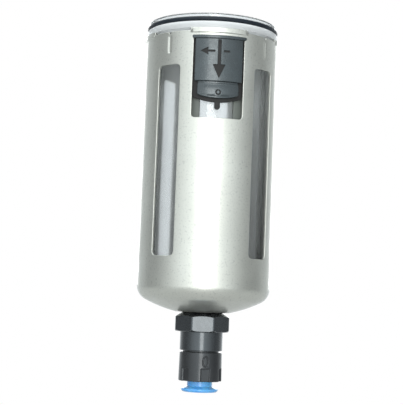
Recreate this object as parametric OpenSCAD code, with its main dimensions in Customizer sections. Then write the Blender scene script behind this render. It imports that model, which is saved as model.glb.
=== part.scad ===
// Bowl assembly of a filter regulator lubricator: a clear bowl in a slotted metal guard,
// with a spring-loaded bayonet lock button, a float-operated automatic drain and a
// push-in tube fitting on the manual drain knob.
// +Z is up along the bowl's axis, -Y is the side with the lock button.
// The origin is the centre of the tube port's mouth, at the lowest point.

/* [Bowl guard] */
// Outer diameter of the guard
guard_d = 60; // [58:0.5:62]
// Thickness of the guard's sheet metal
guard_wall = 1; // [0.8:0.1:1.2]
// Number of sight slots round the guard
slot_count = 4; // [2:1:6]
// Width of a sight slot
slot_w = 12; // [8:0.5:14]
// Lower end of the sight slots
slot_z0 = 59.7; // [56:0.1:70]
// Upper end of the sight slots
slot_z1 = 143.5; // [120:0.5:146]
// Width of the window that the lock button sits in
window_w = 22.4; // [21:0.1:23]
// Width of the sight window on the back
back_window_w = 20; // [12:0.5:20]

/* [Clear bowl] */
// Outer diameter of the bowl's tube
bowl_d = 51.2; // [50:0.1:52]
// Thickness of the bowl's wall
bowl_wall = 2.6; // [2:0.1:3]
// Cross-section diameter of the bowl's O-ring
bowl_ring_d = 2; // [1.8:0.1:2]

/* [Lock button] */
// Width of the button's face
button_w = 21.4; // [20:0.1:21.6]
// How far the button slides down to unlock
button_travel = 3.5; // [2:0.1:3.5]

/* [Drain] */
// Width across the flats of the octagonal drain guide
guide_flats = 24; // [23:0.5:25]
// Outer diameter of the neck and the drain knob
neck_d = 19.2; // [18.8:0.1:19.6]
// Turn of the drain knob from shut to open, in degrees
knob_turn = 90; // [60:5:90]
// How far the drain valve opens
valve_travel = 2.5; // [1.5:0.1:2.5]
// Height that the float rises
float_travel = 3; // [2:0.1:3]
// Number of grip notches in the knob
notch_count = 6; // [4:1:8]

/* [Tube fitting] */
// Bore that guides a 10 mm tube
tube_bore_d = 10.2; // [10.1:0.05:10.3]
// Diameter of the release button's flange
release_d = 16.6; // [15:0.1:17]

/* [Hidden] */
$fn = 96;
eps = 0.01;
far = 40;            // reach of a cutter that goes right through

// Guard
guard_r = guard_d / 2;
guard_in_r = guard_r - guard_wall;
guard_seat_z = 35.5; // flat underside, where the drain guide clamps
guard_rim_z = 158.2; // rim between the tabs
tab_z = 159.4;       // top of the tabs, under the bowl's flange
tab_half = 25;       // half the angle that a tab covers
lug_half = 24;
lug_r = guard_r + 0.4;
lug_z = 157.4;       // underside of the bayonet lugs
dome_z = 91.2;       // centre of the dome's sphere
dome_r = guard_r + 27;
corner_r = 7;        // outer radius between wall and dome
stem_hole_r = 8.3;
slot_corner = 2;
slot_angle = 45;
window_z0 = 119.8;
window_z1 = 155.9;
back_window_z0 = 125.5;
back_window_turn = 5; // the sight window stands this far off the middle, towards +X
rail_r0 = 26;         // two rails behind the window, which carry the lock button's base
rail_r1 = 27.1;
rail_z0 = 113.5;
rail_z1 = 142;
rail_foot_z = 118.6;
rail_a0 = 16;
rail_a1 = 27;
rib_r = 0.9;         // pressed locating ribs above the slots
rib_z0 = 149;
rib_z1 = 156;

// Bowl
bowl_r = bowl_d / 2;
bowl_in_r = bowl_r - bowl_wall;
bowl_seat_z = guard_seat_z + guard_wall;
bowl_dome_r = dome_r - 3;
bowl_corner_r = 6;
boss_r = 11.5;
floor_z = 42.2;      // inner floor that the drain housing stands on
floor_r = 14.6;
bowl_hole_r = 8.2;
flange_r = 29.65;     // the O-ring stands just proud of it
flange_z0 = tab_z;
flange_z1 = 162.4;
groove_z1 = flange_z1 + bowl_ring_d + 0.1;
land_r = 29;
bowl_top_z = 166.1;
ring_groove_r = 27.78;
mouth_r = 26;
mouth_z = 162;
foot_z = guard_rim_z + 0.1; // feet under the flange that key the bowl to the guard
foot_half = 17.5;
foot_r = 29.2;
ledge_z0 = 136;      // ledge that the lock spring stands on
ledge_z1 = 138.2;
ledge_half = 2.3;

// Lock button
base_r0 = 27.4;
base_r1 = 28.8;
base_half = 12.2;
base_z0 = 126.7;
base_z1 = 157.6;
base_arc_r = 28.9;   // its lower edge is curved
base_arc_a = asin(base_half / base_arc_r);
face_r = 30.7;
face_z0 = 135.7;
lip_z0 = 154.3;
lip_z1 = 155.8;
lip_r = 31.5;
lip_half = 11.8;
toe_half = 9.3;      // lower, narrower part of the face
toe_r = 30.1;
toe_z0 = 128.3;
toe_z1 = 134.9;
toe_arc_r = 32.7;
toe_arc_a = asin(toe_half / toe_arc_r);
peg_half = 1.25;
peg_z0 = 123.6;
channel_half = 2.7;
channel_r = 29.5;
channel_z0 = 135.8;
channel_z1 = 150.5;
lock_spring_y = -27.9;
engrave = 0.35;

// Drain guide, knob and fitting
guide_top = 35.4;
nut_turn = -4;       // where the nut stops when it is tight
guide_z = 26.8;
neck_r = neck_d / 2;
neck_z = 18.4;
thread_z = 27.2;
thread_r = 8.05;
neck_in_r = 8.2;
washer_h = 0.6;
knob_z0 = 4.8;
knob_z1 = 17.7;
knob_r0 = neck_r + 0.1;
knob_r1 = neck_r - 0.1;
spigot_r = 8.1;
spigot_in_r = 6.2;
spigot_z = 26.6;
socket_r = 7.8;      // room for the fitting's parts in the knob
socket_z = 17;
throat_r = 4.2;
throat_z = 19;
notch_z = 10.6;
clip_z = 20.1;
clip_r = 0.35;
clip_ring_r = 8.15;
knob_seal_z = 19;
knob_seal_r = 0.5;
knob_seal_ring_r = 7.65;
tube_r = tube_bore_d / 2;
release_neck_r = 5.65;
release_flange_h = 2.4;
release_top = 9;
collet_z0 = 10.6;
collet_z1 = 12.6;
tube_seal_z0 = 13.2;
tube_seal_z1 = 16.4;

// Drain housing and valve
stem_r = 8;
stem_z = 27;         // valve seat at the stem's lower end
stem_bore_r = 4;
chamber_r = 10;
chamber_z0 = 46;
chamber_z1 = 64;
housing_r = 13.4;
housing_flange_r = 14.4;
housing_flange_z = 45.2;
cover_z = 67;
piston_r = 9.8;
piston_z0 = 56;
piston_z1 = 60;
rod_r = 2.6;
head_r = 5.4;
head_z0 = 23;
head_z1 = 26;
cross_pin_z = 24.5;
cross_pin_r = 0.9;
cross_pin_half = 8.9;
ramp_r = cross_pin_r + 0.25;
ramp_floor = cross_pin_z - valve_travel - ramp_r;

// Pilot valve, lever and float
nozzle_r = 2;
nozzle_top = 69;
pivot_x = -6;
pivot_z = 71;
pivot_r = 0.8;
tip_x = 8;           // where the lever's cross bar sits in the float's hangers
float_r = 13;
float_z0 = 76;
float_z1 = 108;
cage_r = 14.4;
cage_in_r = 13.5;
cage_z0 = 60;
cage_z1 = 112;
lid_z1 = 115;

// ---- shared shapes ----

function arc(c, r, a0, a1, n) =
    [for (i = [0:n]) let (a = a0 + (a1 - a0) * i / n) [c[0] + r * cos(a), c[1] + r * sin(a)]];

function rounded(w, z0, z1, r, n = 6) = concat(
    arc([w / 2 - r, z0 + r], r, -90, 0, n), arc([w / 2 - r, z1 - r], r, 0, 90, n),
    arc([-w / 2 + r, z1 - r], r, 90, 180, n), arc([-w / 2 + r, z0 + r], r, 180, 270, n));

// Angle at which a corner arc of radius c, inside a wall of radius w, meets a dome of radius d
function corner_angle(w, c, d) = -acos((w - c) / (d - c));

// Half profile of a closed tube with a domed bottom, from the axis out and up to z_top
function cup(w, c, d, seat, z_top) =
    let (a = corner_angle(w, c, d),
         cz = dome_z + (d - c) * sin(a),
         r_seat = sqrt(d * d - pow(dome_z - seat, 2)),
         a_seat = -acos(r_seat / d))
    concat([[0, seat]], arc([0, dome_z], d, a_seat, a, 10),
           arc([w - c, cz], c, a + 6, 0, 10), [[w, z_top], [0, z_top]]);

// Ring between two radii and two heights
module ring(r_out, r_in, z0, z1) {
    translate([0, 0, z0]) difference() {
        cylinder(r = r_out, h = z1 - z0);
        translate([0, 0, -1]) cylinder(r = r_in, h = z1 - z0 + 2);
    }
}

module o_ring(ring_r, wire_r, z) {
    translate([0, 0, z]) rotate_extrude() translate([ring_r, 0]) circle(r = wire_r, $fn = 48);
}

// Cutter or block that faces -Y, from y = -r0 outwards, with the outline given in x and z
module facing(outline, r0 = 20, r1 = 40) {
    translate([0, -r0, 0]) rotate([90, 0, 0]) linear_extrude(height = r1 - r0) polygon(outline);
}

// Part of a ring that lies behind an outline seen from -Y
module pad(outline, r_in, r_out) {
    z_low = min([for (p = outline) p[1]]);
    z_high = max([for (p = outline) p[1]]);
    intersection() {
        ring(r_out, r_in, z_low - 1, z_high + 1);
        facing(outline);
    }
}

function box2(half, z0, z1) = [[-half, z0], [half, z0], [half, z1], [-half, z1]];

// Part of a ring between two angles from -Y, under 180 degrees apart
module sector(r_in, r_out, z0, z1, a0, a1) {
    intersection() {
        ring(r_out, r_in, z0, z1);
        translate([0, 0, z0 - 1]) linear_extrude(height = z1 - z0 + 2)
            polygon(concat([[0, 0]], arc([0, 0], 2 * r_out, a0 - 90, a1 - 90, 4)));
    }
}

// Helical compression spring with a square-cut helix of round wire
module coil(ring_r, wire_r, z0, z1, turns) {
    sides = 8;
    steps = 16;
    rings = turns * steps;
    rise = (z1 - z0 - 2 * wire_r) / rings;
    points = [for (i = [0:rings], j = [0:sides - 1])
        let (a = 360 * i / steps, b = 360 * j / sides, r = ring_r + wire_r * cos(b))
        [r * cos(a), r * sin(a), z0 + wire_r + rise * i + wire_r * sin(b)]];
    walls = [for (i = [0:rings - 1], j = [0:sides - 1])
        let (k = (j + 1) % sides)
        [i * sides + j, i * sides + k, (i + 1) * sides + k, (i + 1) * sides + j]];
    ends = [[for (j = [sides - 1:-1:0]) j], [for (j = [0:sides - 1]) rings * sides + j]];
    polyhedron(points = points, faces = concat(walls, ends), convexity = 10);
}

// ---- guard and bowl ----

module bowl_guard() {
    color([0.70, 0.71, 0.68]) {
        difference() {
            union() {
                rotate_extrude($fn = 180)
                    polygon(cup(guard_r, corner_r, dome_r, guard_seat_z, tab_z));
                for (k = [0:3]) rotate([0, 0, 90 * k])
                    sector(guard_r - 0.5, lug_r, lug_z, tab_z, -lug_half, lug_half);
            }
            rotate_extrude($fn = 180)
                polygon(cup(guard_in_r, corner_r - guard_wall, dome_r - guard_wall, bowl_seat_z, tab_z + 1));
            translate([0, 0, guard_seat_z - 1]) cylinder(r = stem_hole_r, h = 4);
            for (k = [0:slot_count - 1]) rotate([0, 0, slot_angle + 360 * k / slot_count])
                facing(rounded(slot_w, slot_z0, slot_z1, slot_corner));
            facing(rounded(window_w, window_z0, window_z1, 1.2));
            rotate([0, 0, 180 - back_window_turn]) facing(rounded(back_window_w, back_window_z0, slot_z1, slot_corner));
            for (k = [0:3]) rotate([0, 0, 45 + 90 * k]) {
                translate([0, 0, guard_rim_z]) linear_extrude(height = 4)
                    polygon(concat([[0, 0]], arc([0, 0], 60, tab_half - 135, -tab_half - 45, 4)));
                facing(box2(0.6, guard_rim_z - 0.9, guard_rim_z + 1));
            }
        }
        for (m = [-1, 1]) {
            a0 = m > 0 ? rail_a0 : -rail_a1;
            a1 = m > 0 ? rail_a1 : -rail_a0;
            sector(rail_r0, rail_r1, rail_z0, rail_z1, a0, a1);
            sector(rail_r1 - 0.1, guard_in_r + 0.05, rail_z0, rail_foot_z, a0, a1);
        }
        // ribs pressed inwards above the slots
        for (k = [0:3]) rotate([0, 0, 45 + 90 * k])
            translate([0, -guard_in_r + 0.05, rib_z0]) cylinder(r = rib_r, h = rib_z1 - rib_z0, $fn = 32);
    }
}

module bowl() {
    color([0.85, 0.90, 0.92, 0.35]) difference() {
        union() {
            rotate_extrude($fn = 180)
                polygon(cup(bowl_r, bowl_corner_r, bowl_dome_r, bowl_seat_z + 1.5, flange_z0 + 1));
            translate([0, 0, bowl_seat_z]) cylinder(r = boss_r, h = 4);
            translate([0, 0, flange_z0]) cylinder(r = flange_r, h = flange_z1 - flange_z0, $fn = 180);
            translate([0, 0, flange_z1 - 1]) cylinder(r = ring_groove_r, h = bowl_top_z - flange_z1 + 1);
            translate([0, 0, groove_z1]) cylinder(r = land_r, h = bowl_top_z - groove_z1, $fn = 180);
            for (k = [0:3], side = [-1, 1]) rotate([0, 0, 45 + 90 * k + side * (foot_half / 2 + 1)])
                sector(bowl_in_r + 1, foot_r, foot_z, flange_z0 + 1, -foot_half / 2, foot_half / 2);
            pad(box2(ledge_half, ledge_z0, ledge_z1), bowl_r - 0.5, base_r1);
        }
        difference() {
            rotate_extrude($fn = 180) polygon(cup(bowl_in_r, bowl_corner_r - bowl_wall,
                bowl_dome_r - bowl_wall, floor_z - 1.2, bowl_top_z + 1));
            translate([0, 0, floor_z - 3]) cylinder(r = floor_r, h = 3);
        }
        translate([0, 0, mouth_z - 3]) cylinder(r1 = bowl_in_r, r2 = mouth_r, h = 3);
        translate([0, 0, mouth_z]) cylinder(r = mouth_r, h = far);
        translate([0, 0, bowl_seat_z - 1]) cylinder(r = bowl_hole_r, h = 10);
    }
}

module bowl_o_ring() {
    color([0.08, 0.09, 0.12])
        o_ring(ring_groove_r + 0.02 + bowl_ring_d / 2, bowl_ring_d / 2, flange_z1 + 0.05 + bowl_ring_d / 2);
}

// ---- lock button ----

// Arrow along +X from x0 to the tip, for the engraved unlocking signs
function arrow(x0, tip, shaft, head, head_len) =
    [[x0, -shaft / 2], [tip - head_len, -shaft / 2], [tip - head_len, -head / 2], [tip, 0],
     [tip - head_len, head / 2], [tip - head_len, shaft / 2], [x0, shaft / 2]];

module engraved(z, angle, outline) {
    intersection() {
        ring(face_r + 1, face_r - engrave, base_z0, base_z1);
        translate([0, -20, z]) rotate([90, 0, 0]) linear_extrude(height = 15)
            rotate(angle) polygon(outline);
    }
}

module lock_button() {
    color([0.13, 0.14, 0.15]) difference() {
        union() {
            pad(concat(arc([0, base_z0 + base_arc_r], base_arc_r, -90 - base_arc_a, -90 + base_arc_a, 12),
                       [[base_half, base_z1], [-base_half, base_z1]]), base_r0, base_r1);
            pad(rounded(2 * peg_half, peg_z0, base_z0 + 2, peg_half - 0.01), base_r0, base_r1);
            pad(rounded(button_w, face_z0, lip_z1, 0.4), base_r0, face_r);
            pad(rounded(2 * lip_half, lip_z0, lip_z1, 0.6), guard_r + 0.15, lip_r);
            pad(box2(toe_half - 0.4, toe_z0 + 4, face_z0 + 1), base_r0, 29.3);
            pad(concat(arc([0, toe_z0 + toe_arc_r], toe_arc_r, -90 - toe_arc_a, -90 + toe_arc_a, 12),
                       [[toe_half, toe_z1], [-toe_half, toe_z1]]), base_r0, toe_r);
        }
        pad(box2(channel_half, channel_z0, channel_z1), base_r0 - 2, channel_r);
        engraved(146, -90, arrow(-8.2, 9, 1.4, 5.5, 6));
        engraved(148.9, 180, arrow(1.9, 8.3, 0.8, 3.4, 3.4));
        engraved(148.9, 0, [[1.9, -0.4], [4.6, -0.4], [4.6, 0.4], [1.9, 0.4]]);
        translate([0, 0, 130.9]) rotate([90, 0, 0]) difference() {
            translate([0, 0, toe_r - 0.5]) cylinder(r = 1.2, h = 5, $fn = 40);
            cylinder(r = 0.7, h = far, $fn = 32);
        }
    }
    // peg that centres the spring
    color([0.13, 0.14, 0.15]) translate([0, lock_spring_y, channel_z1 - 2])
        cylinder(r = 0.55, h = 2.2, $fn = 24);
}

module lock_spring() {
    color([0.75, 0.75, 0.77]) translate([0, lock_spring_y, 0])
        coil(1.05, 0.2, ledge_z1 + 0.02, channel_z1 - 0.02, 8);
}

// ---- drain guide, knob and tube fitting ----

module drain_guide() {
    color([0.10, 0.10, 0.11]) difference() {
        union() {
            intersection() {
                translate([0, 0, guide_z]) rotate([0, 0, 22.5 + nut_turn])
                    cylinder(r = guide_flats / 2 / cos(22.5), h = guide_top - guide_z, $fn = 8);
                union() {
                    translate([0, 0, guide_z]) cylinder(r1 = 12.1, r2 = 13.1, h = 0.8);
                    translate([0, 0, guide_z + 0.8]) cylinder(r = 13.1, h = 5.6);
                    translate([0, 0, guide_z + 6.4]) cylinder(r1 = 13.1, r2 = 8.9, h = guide_top - guide_z - 6.4);
                }
            }
            translate([0, 0, neck_z]) cylinder(r = neck_r, h = guide_z - neck_z + 1);
        }
        translate([0, 0, neck_z - 1]) cylinder(r = neck_in_r, h = thread_z - neck_z + 1);
        translate([0, 0, thread_z - 1]) cylinder(r = thread_r, h = 12);
        ring(8.55, neck_in_r - 1, clip_z - 0.4, clip_z + 0.4);
        // straight guides that keep the valve's cross pin from turning
        for (side = [0, 180]) rotate([0, 0, side])
            translate([neck_in_r - 1, -1, 20.9]) cube([1.8, 2, thread_z - 20.9]);
    }
}

module guide_washer() {
    color([0.75, 0.75, 0.72]) ring(8.8, stem_r + 0.1, guide_top, guard_seat_z);
}

module drain_knob() {
    slot_steps = 8;
    color([0.12, 0.12, 0.13]) difference() {
        union() {
            translate([0, 0, knob_z0]) cylinder(r1 = knob_r0, r2 = knob_r1, h = knob_z1 - knob_z0);
            translate([0, 0, knob_z1 - 1]) cylinder(r = spigot_r, h = spigot_z - knob_z1 + 1);
        }
        translate([0, 0, knob_z0 - 1]) cylinder(r = socket_r, h = socket_z - knob_z0 + 1);
        translate([0, 0, socket_z - 1]) cylinder(r = throat_r, h = 4);
        translate([0, 0, throat_z]) cylinder(r = spigot_in_r, h = 10);
        ring(spigot_r + 1, 7.1, knob_seal_z - knob_seal_r - 0.05, knob_seal_z + knob_seal_r + 0.05);
        ring(spigot_r + 1, 7.75, clip_z - 0.4, clip_z + 0.4);
        // grip notches round the lower half, with a flat floor
        for (k = [0:notch_count - 1]) rotate([0, 0, 8 + 360 * k / notch_count])
            translate([-2, -12, knob_z0 - 1]) cube([4, 12 - (neck_r - 0.9), notch_z - knob_z0 + 1]);
        // ramps that push the cross pin down as the knob turns, and leave it free to drop alone
        for (side = [0, 180]) rotate([0, 0, side]) {
            sector(4, 10, ramp_floor, ramp_floor + 2 * ramp_r - 0.2, 90 - knob_turn - 11.5, 90 + 11.5);
            for (i = [0:slot_steps]) rotate([0, 0, -knob_turn * i / slot_steps])
                translate([4, -ramp_r, ramp_floor + 0.5])
                    cube([6, 2 * ramp_r, 2 * ramp_r - 0.5 + valve_travel * (1 - i / slot_steps)]);
        }
        // raised-edge ring sign for the open position
        rotate([0, 0, 8]) translate([0, 0, 13.7]) rotate([90, 0, 0]) difference() {
            translate([0, 0, neck_r - 0.4]) cylinder(r = 2, h = 5, $fn = 40);
            cylinder(r = 1.3, h = 12, $fn = 32);
        }
    }
}

module knob_seal() {
    color([0.08, 0.08, 0.09]) o_ring(knob_seal_ring_r, knob_seal_r - 0.02, knob_seal_z);
}

// Open snap ring that holds the knob in the neck
module knob_clip() {
    color([0.75, 0.75, 0.77]) difference() {
        o_ring(clip_ring_r, clip_r, clip_z);
        translate([-1.5, 0, clip_z - 1]) cube([3, 12, 2]);
    }
}

module collet_ring() {
    color([0.80, 0.65, 0.35]) difference() {
        ring(socket_r, release_neck_r + 0.15, knob_z0, 9.2);
        translate([0, 0, 7.2]) cylinder(r1 = release_neck_r + 0.15, r2 = 7.2, h = 2.1);
    }
}

module collet() {
    claws = 8;
    color([0.78, 0.78, 0.80]) difference() {
        translate([0, 0, collet_z0]) difference() {
            cylinder(r1 = 6.6, r2 = 7.5, h = collet_z1 - collet_z0);
            translate([0, 0, -0.1]) cylinder(r1 = tube_r - 0.15, r2 = 6.2, h = collet_z1 - collet_z0 + 0.2);
        }
        for (k = [0:claws - 1]) rotate([0, 0, 360 * k / claws])
            translate([-0.3, -7, collet_z0 - 1]) cube([0.6, 4, 2.4]);
    }
}

module tube_seal() {
    color([0.10, 0.10, 0.11]) difference() {
        ring(socket_r - 0.02, tube_r - 0.1, tube_seal_z0, tube_seal_z1);
        translate([0, 0, tube_seal_z0 - 0.1]) cylinder(r1 = 6.6, r2 = tube_r - 0.1, h = 1.6);
    }
}

module release_button() {
    color([0.15, 0.45, 0.95]) difference() {
        union() {
            cylinder(r1 = release_d / 2 - 0.5, r2 = release_d / 2, h = 0.9);
            translate([0, 0, 0.9]) cylinder(r = release_d / 2, h = 0.5);
            translate([0, 0, 1.4]) cylinder(r1 = release_d / 2, r2 = release_neck_r, h = release_flange_h - 1.4);
            cylinder(r = release_neck_r, h = release_top);
            translate([0, 0, 7.8]) cylinder(r1 = release_neck_r, r2 = 6.3, h = release_top - 7.8);
        }
        translate([0, 0, -1]) cylinder(r = tube_r, h = release_top + 2);
    }
}

// ---- automatic drain ----

module drain_housing() {
    color([0.90, 0.90, 0.88]) difference() {
        union() {
            translate([0, 0, stem_z]) cylinder(r = stem_r, h = floor_z - stem_z + 1);
            translate([0, 0, floor_z]) cylinder(r = housing_flange_r, h = housing_flange_z - floor_z);
            translate([0, 0, housing_flange_z - 1]) cylinder(r = housing_r, h = chamber_z1 - housing_flange_z + 1);
            translate([0, 0, cage_z0 - 1.5]) cylinder(r = cage_r, h = 1.5);
        }
        translate([0, 0, stem_z - 1]) cylinder(r = stem_bore_r, h = chamber_z0 - stem_z + 2);
        translate([0, 0, chamber_z0]) cylinder(r = chamber_r, h = chamber_z1);
        ring(11.75, 9.75, floor_z - 1, floor_z + 1.8);
        for (k = [0:5]) rotate([0, 0, 60 * k]) translate([8, 0, 49])
            rotate([0, 90, 0]) cylinder(r = 1.5, h = 8, $fn = 32);
    }
}

module housing_seal() {
    color([0.08, 0.08, 0.09]) o_ring(10.75, 0.88, floor_z + 0.9);
}

// Slotted screen round the housing's water ports
module strainer() {
    color([0.78, 0.78, 0.80]) difference() {
        ring(14.1, housing_r + 0.05, housing_flange_z + 0.05, 53);
        for (k = [0:29]) rotate([0, 0, 12 * k]) translate([-0.5, -16, 46.5]) cube([1, 6, 5]);
    }
}

module valve_piston() {
    color([0.80, 0.66, 0.36]) difference() {
        union() {
            translate([0, 0, piston_z0]) cylinder(r = piston_r, h = piston_z1 - piston_z0);
            translate([0, 0, head_z0]) cylinder(r = rod_r, h = piston_z0 - head_z0 + 1);
            translate([0, 0, head_z0]) cylinder(r = head_r, h = head_z1 - head_z0);
        }
        ring(piston_r + 1, 7.9, 57, 59);
        translate([-10, 0, cross_pin_z]) rotate([0, 90, 0]) cylinder(r = cross_pin_r + 0.01, h = 20, $fn = 32);
    }
}

module piston_seal() {
    color([0.08, 0.08, 0.09]) o_ring(8.95, 0.98, 58);
}

module valve_seal() {
    color([0.10, 0.10, 0.11]) ring(head_r - 0.1, rod_r + 0.02, head_z1, stem_z);
}

module valve_cross_pin() {
    color([0.75, 0.75, 0.77]) translate([-cross_pin_half, 0, cross_pin_z])
        rotate([0, 90, 0]) cylinder(r = cross_pin_r, h = 2 * cross_pin_half, $fn = 32);
}

module valve_spring() {
    color([0.75, 0.75, 0.77]) coil(7.2, 0.45, chamber_z0 + 0.02, piston_z0 - 0.02, 5);
}

module housing_cover() {
    color([0.90, 0.90, 0.88]) {
        difference() {
            union() {
                translate([0, 0, chamber_z1]) cylinder(r = housing_r, h = cover_z - chamber_z1);
                translate([0, 0, 61.5]) cylinder(r = chamber_r - 0.05, h = 4);
                for (side = [-1, 1]) translate([pivot_x - 2, side * 3 - 0.6, cover_z - 1])
                    cube([4, 1.2, pivot_z - cover_z + 1]);
                for (side = [-1, 1]) translate([pivot_x, side * 3 + 0.6, pivot_z])
                    rotate([90, 0, 0]) cylinder(r = 2, h = 1.2, $fn = 40);
            }
            ring(chamber_r + 1, 8.3, 62, 63.7);
            translate([0, 0, 60]) cylinder(r = nozzle_r, h = 8);
            translate([pivot_x, 8, pivot_z]) rotate([90, 0, 0]) cylinder(r = pivot_r + 0.02, h = 16, $fn = 32);
        }
    }
}

module cover_seal() {
    color([0.08, 0.08, 0.09]) o_ring(9.15, 0.8, 62.85);
}

module pilot_nozzle() {
    color([0.80, 0.66, 0.36]) difference() {
        union() {
            translate([0, 0, 61]) cylinder(r = nozzle_r - 0.01, h = cover_z - 61 + 1);
            translate([0, 0, cover_z + 1]) cylinder(r1 = nozzle_r - 0.01, r2 = 0.9, h = nozzle_top - cover_z - 1);
        }
        translate([0, 0, 60]) cylinder(r = 0.4, h = 10, $fn = 24);
    }
}

module float_lever() {
    color([0.90, 0.90, 0.88]) difference() {
        union() {
            translate([pivot_x, 1.7, pivot_z]) rotate([90, 0, 0]) cylinder(r = 1.8, h = 3.4, $fn = 40);
            translate([pivot_x, -1.7, pivot_z - 0.9]) cube([tip_x - pivot_x, 3.4, 1.8]);
            translate([tip_x, 3.3, pivot_z]) rotate([90, 0, 0]) cylinder(r = pivot_r, h = 6.6, $fn = 32);
        }
        translate([pivot_x, 3, pivot_z]) rotate([90, 0, 0]) cylinder(r = pivot_r + 0.05, h = 6, $fn = 32);
    }
}

module pilot_pad() {
    color([0.10, 0.10, 0.11]) translate([0, 0, nozzle_top]) cylinder(r = 1.4, h = pivot_z - 0.9 - nozzle_top);
}

module lever_pin() {
    color([0.75, 0.75, 0.77]) translate([pivot_x, 4.2, pivot_z]) rotate([90, 0, 0])
        cylinder(r = pivot_r, h = 8.4, $fn = 32);
}

module float() {
    color([0.93, 0.93, 0.90]) {
        translate([0, 0, float_z0]) difference() {
            cylinder(r = float_r, h = float_z1 - float_z0);
            translate([0, 0, -1]) cylinder(r = 7.5, h = 3);
        }
        for (side = [-1, 1]) difference() {
            translate([tip_x - 2, side * 2.8 - 0.6, 68.6]) cube([4, 1.2, float_z0 - 68.6 + 2]);
            translate([tip_x - 1.2, side * 2.8 - 2, pivot_z - pivot_r - 0.12])
                cube([2.4, 4, 2 * pivot_r + 0.24]);
        }
    }
}

module float_cage() {
    ports = 8;
    color([0.86, 0.87, 0.86]) difference() {
        ring(cage_r, cage_in_r, cage_z0, cage_z1);
        for (k = [0:ports - 1]) rotate([0, 0, 360 * k / ports]) {
            facing(rounded(5, 67, 76, 1.5), 8, 20);
            facing(rounded(5, 82, 106, 1.5), 8, 20);
        }
    }
}

module cage_lid() {
    color([0.86, 0.87, 0.86]) difference() {
        union() {
            translate([0, 0, cage_z1]) cylinder(r = cage_r, h = lid_z1 - cage_z1);
            translate([0, 0, cage_z1 - 0.8]) cylinder(r = cage_in_r - 0.05, h = 1);
        }
        translate([0, 0, cage_z1 - 2]) cylinder(r = 3, h = 8);
        for (k = [0:5]) rotate([0, 0, 60 * k]) translate([8, 0, cage_z1 - 2]) cylinder(r = 2.2, h = 8, $fn = 40);
    }
}

bowl_guard();
bowl();
bowl_o_ring();
lock_button();
lock_spring();
drain_guide();
guide_washer();
drain_knob();
knob_seal();
knob_clip();
collet_ring();
collet();
tube_seal();
release_button();
drain_housing();
housing_seal();
strainer();
valve_piston();
piston_seal();
valve_seal();
valve_cross_pin();
valve_spring();
housing_cover();
cover_seal();
pilot_nozzle();
float_lever();
pilot_pad();
lever_pin();
float();
float_cage();
cage_lid();
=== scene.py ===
import math

import bmesh
import bpy
from mathutils import Matrix, Vector
from mathutils.geometry import delaunay_2d_cdt


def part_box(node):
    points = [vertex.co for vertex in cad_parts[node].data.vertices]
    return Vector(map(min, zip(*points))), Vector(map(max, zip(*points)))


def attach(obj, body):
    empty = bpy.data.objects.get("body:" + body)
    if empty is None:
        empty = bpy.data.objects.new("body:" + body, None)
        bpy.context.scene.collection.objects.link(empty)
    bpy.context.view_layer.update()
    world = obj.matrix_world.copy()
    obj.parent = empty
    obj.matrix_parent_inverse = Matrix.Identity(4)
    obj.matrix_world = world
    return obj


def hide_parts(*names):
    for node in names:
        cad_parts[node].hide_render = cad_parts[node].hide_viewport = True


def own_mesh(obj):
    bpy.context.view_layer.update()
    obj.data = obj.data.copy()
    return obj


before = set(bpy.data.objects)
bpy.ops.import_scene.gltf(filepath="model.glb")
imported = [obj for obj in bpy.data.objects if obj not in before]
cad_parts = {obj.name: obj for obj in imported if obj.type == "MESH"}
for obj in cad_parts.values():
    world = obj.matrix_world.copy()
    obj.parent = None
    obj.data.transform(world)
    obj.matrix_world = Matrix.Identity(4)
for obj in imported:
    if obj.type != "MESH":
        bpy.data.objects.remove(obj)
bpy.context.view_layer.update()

MM = 0.001  # metres in a millimetre

# ---- camera: the photograph's viewing angle ----

AZIMUTH = math.radians(-6.016)
ELEVATION = math.radians(-4.625)
ROLL = math.radians(2.169)
DISTANCE = 0.5289
FOCAL_PIXELS = 1161.2
FRAME_PIXELS = 405
SENSOR_MM = 36.0
SIDE_SHIFT = -0.00221
TARGET_Z = 0.08517

side = Vector((math.cos(AZIMUTH), math.sin(AZIMUTH), 0))
back = Vector((math.sin(AZIMUTH) * math.cos(ELEVATION),
               -math.cos(AZIMUTH) * math.cos(ELEVATION),
               math.sin(ELEVATION)))
up = back.cross(side)
right = side * math.cos(ROLL) + up * math.sin(ROLL)
camera_up = up * math.cos(ROLL) - side * math.sin(ROLL)
target = side * SIDE_SHIFT + Vector((0, 0, TARGET_Z))

camera_data = bpy.data.cameras.new("camera")
camera_data.sensor_width = SENSOR_MM
camera_data.lens = FOCAL_PIXELS * SENSOR_MM / FRAME_PIXELS
camera_data.clip_start = 0.01
camera = bpy.data.objects.new("camera", camera_data)
bpy.context.scene.collection.objects.link(camera)
turn = Matrix((right, camera_up, back)).transposed().to_4x4()
camera.matrix_world = Matrix.Translation(target + back * DISTANCE) @ turn
bpy.context.scene.camera = camera


# ---- mesh tools, in millimetres; angle 0 faces -Y and 90 degrees faces +X ----

def smooth(t):
    """0 below 0, 1 above 1, and an eased step between."""
    t = min(1.0, max(0.0, t))
    return t * t * (3 - 2 * t)


def polar(r, angle, z):
    return (r * math.sin(angle), -r * math.cos(angle), z)


def unit(v):
    size = math.sqrt(sum(c * c for c in v)) or 1.0
    return tuple(c / size for c in v)


def fan(n):
    """n angles, evenly round the axis."""
    return [2 * math.pi * k / n for k in range(n)]


def wrap(angle, whole=2 * math.pi):
    """The same angle between half a turn below 0 and half a turn above it."""
    return (angle + whole / 2) % whole - whole / 2


def even(r):
    """A surface of constant radius."""
    return lambda s, z: r


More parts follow.
